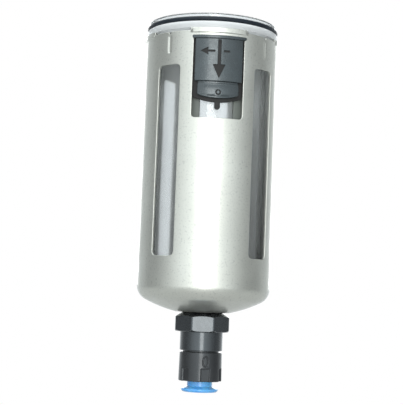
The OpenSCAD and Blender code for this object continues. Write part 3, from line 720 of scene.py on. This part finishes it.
button = Net()
face = rect(FACE_HALF, FACE_Z0, FACE_Z1, 0.5)
plate(button, dense(face, 0.9), face_front, even(FACE_BACK), FACE_R, 0.35, (0.8, 0.9),
      engraved=[dense(down_arrow, 0.5), dense(left_arrow, 0.4), dense(tail, 0.4)])
toe = rounded_line([(-TOE_HALF, TOE_Z0, 1.0)] + arc_points(0, 161.0, 32.7, -104, -76, 12)
                   + [(TOE_HALF, TOE_Z0, 1.0), (TOE_HALF, TOE_Z1, 0.7), (-TOE_HALF, TOE_Z1, 0.7)], steps=3)
plate(button, dense(toe, 0.9), toe_front, even(TOE_BACK), TOE_R, 0.4, (0.8, 0.6), engraved=[ring_sign])
lip = rect(LIP_HALF, LIP_Z0, LIP_Z1, 0.5, steps=4)
plate(button, dense(lip, 0.9), lip_front, even(LIP_BACK), 30.6, 0.3, (0.9, 0.4))
base = rounded_line([(-BASE_HALF, BASE_Z0, 0.6)] + arc_points(0, 155.6, 28.9, -112, -68, 12)
                    + [(BASE_HALF, BASE_Z0, 0.6), (BASE_HALF, BASE_Z1, 0.6), (-BASE_HALF, BASE_Z1, 0.6)],
                    steps=3)
channel = dense(rect(CHANNEL_HALF, CHANNEL_Z0, CHANNEL_Z1, 0.3), 1.5)
plate(button, dense(base, 1.2), even(BASE_R), even(BASE_IN), BASE_R, 0.2, (1.5, 2.0), holes=[channel])
toe_block = rect(8.9, BASE_Z0, 136.6, 0.5)
plate(button, dense(toe_block, 1.2), even(29.35), even(BLOCK_IN), 29.3, 0.15, (1.5, 1.5))
face_block = rect(10.4, 136.0, 155.4, 0.4)
plate(button, dense(face_block, 1.2), even(29.75), even(BLOCK_IN), 29.5, 0.15, (1.5, 1.5), holes=[channel])
peg = rounded_line([(-PEG_HALF, PEG_Z0, 1.2), (PEG_HALF, PEG_Z0, 1.2), (PEG_HALF, PEG_Z1, 0.2),
                    (-PEG_HALF, PEG_Z1, 0.2)], steps=6)
plate(button, dense(peg, 0.6), even(BASE_R), even(BASE_IN), BASE_R, 0.2, (0.6, 0.6))
make("lock_button_body", button, button_plastic, "lock_button", "lock_button",
     button_engraving, engraved_or_base)

# ---- octagonal guide and its neck ----

FLATS, AF_R, CORNER_CUT = 8, 12.0, 13.1
FLAT_STEP, FLAT_HALF = 2 * math.pi / FLATS, math.pi / FLATS
GUIDE_TOP, GUIDE_Z, NECK_R, NECK_Z = 35.4, 26.8, 9.6, 18.4
NECK_BORE, STEM_BORE, THREAD_Z = 8.2, 8.05, 27.0
CHAMFER_FOOT_R, CHAMFER_TOP_R, CHAMFER_Z = 12.1, 8.9, 33.2
EASE = 0.14
NUT_TURN = math.radians(-4)
# the neck's bore has two straight guides for the ends of the valve's cross pin
PIN_SLOT_R, PIN_SLOT_Z, PIN_SLOT_HALF = 9.0, 20.9, math.radians(7)

guide_angles = []
for k in range(FLATS):
    for f in (-1, -0.985, -0.95, -0.88, -0.75, -0.6, -0.45, -0.3, -0.15, 0, 0.15, 0.3, 0.45, 0.6, 0.75,
              0.88, 0.95, 0.985):
        guide_angles.append(FLAT_STEP * k + f * FLAT_HALF)
for pin_end in (math.radians(90), math.radians(-90)):
    for f in (-1.02, -1, 0, 1, 1.02):
        a = pin_end - NUT_TURN + f * PIN_SLOT_HALF
        guide_angles.append((a + FLAT_HALF) % (2 * math.pi) - FLAT_HALF)
guide_angles = sorted(set(guide_angles))


def guide_column(a):
    """(r, z, normal r, normal z) up the guide's side at an angle from a flat's middle, and down its bore."""
    r = min(AF_R / math.cos(wrap(a, FLAT_STEP)), CORNER_CUT)
    bottom = GUIDE_Z + max(0.15, (r - CHAMFER_FOOT_R) * 0.8)
    fall, run = GUIDE_TOP - CHAMFER_Z, CORNER_CUT - CHAMFER_TOP_R
    top = GUIDE_TOP - (r - CHAMFER_TOP_R) * fall / run
    slope = unit((fall, run))
    off_pin = abs(abs(wrap(a + NUT_TURN)) - math.pi / 2)
    bore = PIN_SLOT_R if off_pin < 1.01 * PIN_SLOT_HALF else NECK_BORE
    return [(NECK_BORE, NECK_Z, 0, -1), (NECK_R - 0.3, NECK_Z, 0, -1),
            (NECK_R - 0.09, NECK_Z + 0.09, 0.7, -0.7), (NECK_R, NECK_Z + 0.3, 1, 0),
            (NECK_R, GUIDE_Z - 0.25, 1, 0), (NECK_R + 0.1, GUIDE_Z - 0.06, 0.7, -0.7),
            (NECK_R + 0.3, GUIDE_Z, 0, -1), (min(r, CHAMFER_FOOT_R) - 0.25, GUIDE_Z, 0, -1),
            (r - EASE * 0.4, bottom - EASE * 0.1, 0.6, -0.8), (r, bottom + EASE, 1, 0), (r, top - EASE, 1, 0),
            (r - EASE * 0.35, top + EASE * 0.3, *unit((1 + slope[0], slope[1]))),
            (r - EASE * 1.5, top + EASE * 1.3, *slope), (9.4, GUIDE_TOP - 0.34, *slope),
            (9.1, GUIDE_TOP, 0, 1), (STEM_BORE + 0.25, GUIDE_TOP, 0, 1), (STEM_BORE, GUIDE_TOP - 0.25, -1, 0),
            (STEM_BORE, THREAD_Z + 0.2, -1, 0), (NECK_BORE, THREAD_Z, -1, 0), (bore, THREAD_Z - 0.01, -1, 0),
            (bore, PIN_SLOT_Z + 0.01, -1, 0), (NECK_BORE, PIN_SLOT_Z, -1, 0),
            (NECK_BORE, NECK_Z + 0.1, -1, 0)]


guide = Net()
rows = [[] for _ in guide_column(0)]
for a in guide_angles:
    near = round(a / FLAT_STEP) * FLAT_STEP
    away = abs(a - near) / FLAT_HALF
    flat_a = near if away < 0.9 else near + (a - near) * (away - 0.9) / 0.1
    for row, (r, z, nr, nz) in zip(rows, guide_column(a)):
        facet = r > 11.4 and GUIDE_Z + 0.2 < z < 35 and nr > 0.5
        normal = polar(nr, (flat_a if facet else a) + NUT_TURN, nz)
        row.append(guide.add(polar(r, a + NUT_TURN, z), unit(normal)))
guide.loft(rows)
make("guide_nut", guide, guide_plastic, "bowl_and_guard", "drain_guide")

# ---- drain knob ----

KNOB_Z0, KNOB_Z1, KNOB_R, KNOB_TAPER = 4.8, 17.7, 9.7, 0.2
NOTCHES, NOTCH_TOP, NOTCH_FLAT, NOTCH_HALF = 6, 10.6, 8.7, 2.0
MARK_A, MARK_Z, MARK_W, MARK_H, MARK_DEPTH = math.radians(8), 13.7, 1.15, 2.15, 0.35
KNOB_SEGMENTS, KNOB_LEVELS = 360, 62
SPIGOT_R, SPIGOT_IN, SPIGOT_Z = 8.1, 6.2, 20.8
SEAL_R, CLIP_R = 7.1, 7.75  # floors of the seal's and the clip's grooves
PORT_R, BORE_R = 7.8, 4.2
POST_Z0, POST_Z1, POST_HALF = 20.7, 26.6, math.radians(33)
S_W, S_H, S_SWEEP = 1.0, 1.05, 250


def s_curve(t):
    """An S from top to bottom, t from 0 to 1, in millimetres about its centre."""
    if t < 0.5:
        a = math.radians(20 + S_SWEEP * (t / 0.5))
        return (S_W * math.cos(a), S_H + S_H * math.sin(a))
    a = math.radians(90 - S_SWEEP * ((t - 0.5) / 0.5))
    return (S_W * math.cos(a), -S_H + S_H * math.sin(a))


S_POINTS = [s_curve(k / 40) for k in range(41)]


def knob_base(z):
    """The knob's radius before anything is cut into it."""
    return KNOB_R - KNOB_TAPER * (z - KNOB_Z0) / (KNOB_Z1 - KNOB_Z0)


def knob_cut(a, z):
    """Depth of the grip notches and of the engraved signs, a ring and an S, at a point of the knob."""
    base_r, up_z, cut = knob_base(z), z - MARK_Z, 0.0
    off_notch = wrap(a - MARK_A, 2 * math.pi / NOTCHES)
    across = abs(base_r * math.sin(off_notch))
    if z < NOTCH_TOP + 0.4 and across < NOTCH_HALF + 0.2:
        flat = max(0.0, base_r - NOTCH_FLAT / math.cos(off_notch))
        wall_in = 1 - smooth((across - NOTCH_HALF + 0.12) / 0.24)
        cut = max(cut, flat * wall_in * (1 - smooth((z - NOTCH_TOP + 0.12) / 0.24)))
    x = wrap(a - MARK_A) * base_r
    if abs(x) < 2.2 and abs(up_z) < 3.2:
        width = MARK_W if abs(x) > abs(up_z) * 0.5 else MARK_H
        d = abs(math.hypot(x / MARK_W, up_z / MARK_H) - 1) * width
        cut = max(cut, MARK_DEPTH * (1 - smooth((d - 0.16) / 0.22)))
    x = wrap(a - MARK_A - math.pi / 2) * base_r
    if abs(x) < 2.2 and abs(up_z) < 3.2:
        d = min(math.hypot(x - px, up_z - pz) for px, pz in S_POINTS)
        cut = max(cut, MARK_DEPTH * (1 - smooth((d - 0.2) / 0.22)))
    return cut


def knob_radius(a, z):
    return knob_base(z) - knob_cut(a, z)


knob = Net()
angles = fan(KNOB_SEGMENTS)
levels = [KNOB_Z0 + 0.3 + (KNOB_Z1 - KNOB_Z0 - 0.6) * k / KNOB_LEVELS for k in range(KNOB_LEVELS + 1)]
wall = []
for z in levels:
    row = []
    for a in angles:
        r, e = knob_radius(a, z), 0.01
        da = (knob_radius(a + e, z) - knob_radius(a - e, z)) / (2 * e * r)
        dz = (knob_radius(a, z + 0.05) - knob_radius(a, z - 0.05)) / 0.1
        normal = unit((math.sin(a) - da * math.cos(a), -math.cos(a) - da * math.sin(a), -dz))
        row.append(knob.add(polar(r, a, z), normal))
    wall.append(row)


def knob_row(z, inset, nr, nz, at_z):
    """A ring of points inside the knob's cut outline at a level."""
    return [knob.add(polar(knob_radius(a, at_z) - inset, a, z), polar(nr, a, nz)) for a in angles]


def plain_row(r, z, nr, nz):
    return [knob.add(polar(r, a, z), polar(nr, a, nz)) for a in angles]


low_rows = [plain_row(PORT_R, KNOB_Z0 + 0.2, -1, 0), plain_row(PORT_R + 0.2, KNOB_Z0, 0, -1),
            knob_row(KNOB_Z0, 0.3, 0, -1, levels[0]), knob_row(KNOB_Z0 + 0.09, 0.09, 0.7, -0.7, levels[0])]
high_rows = [knob_row(KNOB_Z1 - 0.09, 0.09, 0.7, 0.7, levels[-1]), knob_row(KNOB_Z1, 0.3, 0, 1, levels[-1])]
# up the spigot past the seal's and the clip's grooves, and down inside it to the port
spigot = [(SPIGOT_R + 0.15, KNOB_Z1, 0, 1), (SPIGOT_R, KNOB_Z1 + 0.15, 1, 0),
          (SPIGOT_R, 18.42, 1, 0), (SEAL_R, 18.46, 1, 0), (SEAL_R, 19.54, 1, 0), (SPIGOT_R, 19.58, 1, 0),
          (SPIGOT_R, 19.68, 1, 0), (CLIP_R, 19.72, 1, 0), (CLIP_R, 20.48, 1, 0), (SPIGOT_R, 20.52, 1, 0),
          (SPIGOT_R, SPIGOT_Z, 0, 1), (SPIGOT_IN, SPIGOT_Z, 0, 1), (SPIGOT_IN, 19.0, -1, 0),
          (BORE_R, 19.0, -1, 0), (BORE_R, 17.0, -1, 0), (PORT_R, 17.0, 0, -1)]
knob.loft(low_rows + wall + high_rows + [plain_row(*p) for p in spigot])

# posts and top ring of the spigot, beside the ramps
for centre_a in (225, 405):  # degrees
    post = Skin(knob, SPIGOT_R, even(SPIGOT_R), even(SPIGOT_IN))
    centre_s = SPIGOT_R * math.radians(centre_a)
    loop = dense(rect(SPIGOT_R * POST_HALF, POST_Z0, POST_Z1, 0.1, centre=centre_s, steps=1), 0.9)
    outer, far = post.edge(loop, 0.1)
    post.skin(post.front, outer, [], (0.9, 2.0), 0.2)
    post.skin(post.back_wall, far, [], (0.9, 2.0), 0.2, way=-1)
lathe(knob, rounded_line([(6.25, 25.75, 0.05), (8.05, 25.75, 0.05), (8.05, 26.55, 0.05), (6.25, 26.55, 0.05)],
                         steps=1), 96)
make("knob_body", knob, knob_plastic, "drain_knob", "drain_knob")

# ---- blue release sleeve ----

SLEEVE_BORE, SLEEVE_R, SLEEVE_FLANGE_R, SLEEVE_TOP = 5.1, 5.65, 8.3, 9.0
sleeve = Net()
lathe(sleeve, rounded_line([(SLEEVE_BORE, 0, 0.25), (7.75, 0, 0.3), (SLEEVE_FLANGE_R, 0.75, 0.35),
                            (SLEEVE_FLANGE_R, 1.4, 0.3), (SLEEVE_R, 2.4, 0.5), (SLEEVE_R, 7.8, 0.2),
                            (6.3, SLEEVE_TOP, 0.12), (SLEEVE_BORE, SLEEVE_TOP, 0.12)], steps=5), 144)
make("release_sleeve", sleeve, blue_plastic, "release_button", "release_button")

# ---- springs ----

WIRE_SIDES, TURN_STEPS = 12, 32


def spring(name, node, turns, wire_r):
    """A wound spring in its CAD node's place."""
    low, high = ([c / MM for c in corner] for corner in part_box(node))
    x, y = (low[0] + high[0]) / 2, (low[1] + high[1]) / 2
    coil_r, length = (high[0] - low[0]) / 2 - wire_r, high[2] - low[2]
    net, rings = Net(), []
    for i in range(turns * TURN_STEPS + 1):
        a = 2 * math.pi * i / TURN_STEPS
        z = low[2] + wire_r + (length - 2 * wire_r) * i / (turns * TURN_STEPS)
        ring = []
        for b in fan(WIRE_SIDES):
            outwards, upwards = math.cos(b), math.sin(b)
            r = coil_r + wire_r * outwards
            ring.append(net.add((x + r * math.cos(a), y + r * math.sin(a), z + wire_r * upwards),
                                (outwards * math.cos(a), outwards * math.sin(a), upwards)))
        rings.append(ring)
    net.loft(rings, closed=False)
    net.face(*rings[0])
    net.face(*rings[-1])
    obj = make(name, net, steel, "bowl_and_guard", node)
    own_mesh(obj)


spring("button_coil", "lock_spring", 8, 0.2)
spring("valve_coil", "valve_spring", 5, 0.45)

# ---- carried-over parts ----

FINISHES = (
    (steel, ("knob_clip", "collet", "strainer", "valve_cross_pin", "lever_pin")),
    (brass, ("collet_ring", "valve_piston", "pilot_nozzle")),
    (soft_rubber, ("knob_seal", "tube_seal", "housing_seal", "piston_seal", "valve_seal", "cover_seal",
                   "pilot_pad")),
    (acetal, ("drain_housing", "housing_cover", "float_lever", "float")),
    (cage_plastic, ("float_cage", "cage_lid")),
    (fibre, ("guide_washer",)),
)
for finish, nodes in FINISHES:
    for node in nodes:
        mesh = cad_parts[node].data
        if not mesh.materials:
            mesh.materials.append(finish)
        for index in range(len(mesh.materials)):
            mesh.materials[index] = finish

# ---- floor ----

FLOOR_Z, FLOOR_R, FLOOR_SIDES = -0.15, 1.0, 96
floor_mesh = bpy.data.meshes.new("floor")
rim_points = [(FLOOR_R * math.cos(a), FLOOR_R * math.sin(a), FLOOR_Z) for a in fan(FLOOR_SIDES)]
floor_mesh.from_pydata(rim_points, [], [list(range(FLOOR_SIDES))])
floor_mesh.materials.append(material(
    "floor_white", (0.46, 0.46, 0.455), rough=0.8, spread=0.01, grain=5, grain_depth=0.01))
floor = bpy.data.objects.new("floor", floor_mesh)
bpy.context.scene.collection.objects.link(floor)

# ---- studio light: a white backdrop behind, a dim room in front ----

world = bpy.data.worlds.new("world")
bpy.context.scene.world = world
world.use_nodes = True
tree = world.node_tree
tree.nodes.clear()
world_out = tree.nodes.new("ShaderNodeOutputWorld")
seen = tree.nodes.new("ShaderNodeBackground")
seen.inputs[0].default_value = (1, 1, 1, 1)
seen.inputs[1].default_value = 1.0
lit = tree.nodes.new("ShaderNodeBackground")
lit.inputs[0].default_value = (0.91, 0.97, 1.0, 1)
direction = tree.nodes.new("ShaderNodeTexCoord")

# strength of the room's light by the cosine between a direction and an axis
BACKWARDS = (math.sin(math.radians(9)), math.cos(math.radians(9)), 0)
ROUND_ABOUT = [(-1, 1.5), (-0.9, 1.36), (-0.7, 1.0), (-0.5, 0.62), (-0.4, 0.49), (-0.1, 0.28), (0.25, 0.30),
               (0.7, 0.62), (1, 0.92)]
UPWARDS = (-0.25, -0.1, 0.96)
OVERHEAD = [(-1, 0), (0.72, 0), (0.86, 1.4), (1, 1.7)]


def along(axis, stops):
    """Half the strength that (cosine, strength) stops give along an axis, because a ramp ends at 1."""
    dot = tree.nodes.new("ShaderNodeVectorMath")
    dot.operation = "DOT_PRODUCT"
    dot.inputs[1].default_value = axis
    tree.links.new(direction.outputs["Generated"], dot.inputs[0])
    shift = tree.nodes.new("ShaderNodeMapRange")
    shift.inputs["From Min"].default_value, shift.inputs["From Max"].default_value = -1.0, 1.0
    tree.links.new(dot.outputs["Value"], shift.inputs["Value"])
    ramp = tree.nodes.new("ShaderNodeValToRGB")
    ramp.color_ramp.interpolation = "EASE"
    while len(ramp.color_ramp.elements) > 1:
        ramp.color_ramp.elements.remove(ramp.color_ramp.elements[0])
    for n, (cosine, value) in enumerate(stops):
        stop = ramp.color_ramp.elements[0] if n == 0 else ramp.color_ramp.elements.new((cosine + 1) / 2)
        stop.position = (cosine + 1) / 2
        stop.color = (value / 2, value / 2, value / 2, 1)
    tree.links.new(shift.outputs["Result"], ramp.inputs["Fac"])
    return ramp.outputs["Color"]


round_about = along(BACKWARDS, ROUND_ABOUT)
overhead = along(UPWARDS, OVERHEAD)
both = tree.nodes.new("ShaderNodeMath")
both.operation = "ADD"
tree.links.new(round_about, both.inputs[0])
tree.links.new(overhead, both.inputs[1])
doubled = tree.nodes.new("ShaderNodeMath")
doubled.operation = "MULTIPLY"
doubled.inputs[1].default_value = 2.0
tree.links.new(both.outputs[0], doubled.inputs[0])
tree.links.new(doubled.outputs[0], lit.inputs[1])
path = tree.nodes.new("ShaderNodeLightPath")
choose = tree.nodes.new("ShaderNodeMixShader")
tree.links.new(path.outputs["Is Camera Ray"], choose.inputs[0])
tree.links.new(lit.outputs[0], choose.inputs[1])
tree.links.new(seen.outputs[0], choose.inputs[2])
tree.links.new(choose.outputs[0], world_out.inputs[0])

LIGHT_TARGET = Vector((0, 0, 0.09))


def light(name, azimuth, elevation, distance, size, power, color=(1, 1, 1)):
    """A soft rectangular light; azimuth 0 stands at -Y, 90 at +X."""
    data = bpy.data.lights.new(name, "AREA")
    data.shape = "RECTANGLE"
    data.size, data.size_y = size
    data.energy = power
    data.color = color
    obj = bpy.data.objects.new(name, data)
    bpy.context.scene.collection.objects.link(obj)
    a, e = math.radians(azimuth), math.radians(elevation)
    away = Vector((math.sin(a) * math.cos(e), -math.cos(a) * math.cos(e), math.sin(e)))
    aim = away.to_track_quat("Z", "Y").to_matrix().to_4x4()
    obj.matrix_world = Matrix.Translation(LIGHT_TARGET + away * distance) @ aim
    return obj


light("front", -3, 4, 0.62, (0.20, 0.40), 0.9, (1.0, 0.985, 0.965))
rear = light("rear", 172, 12, 1.0, (1.0, 0.5), 3.0)
rear.visible_transmission = False  # it isn't seen as a white sheet through the bowl
bpy.context.scene.view_settings.view_transform = "Standard"
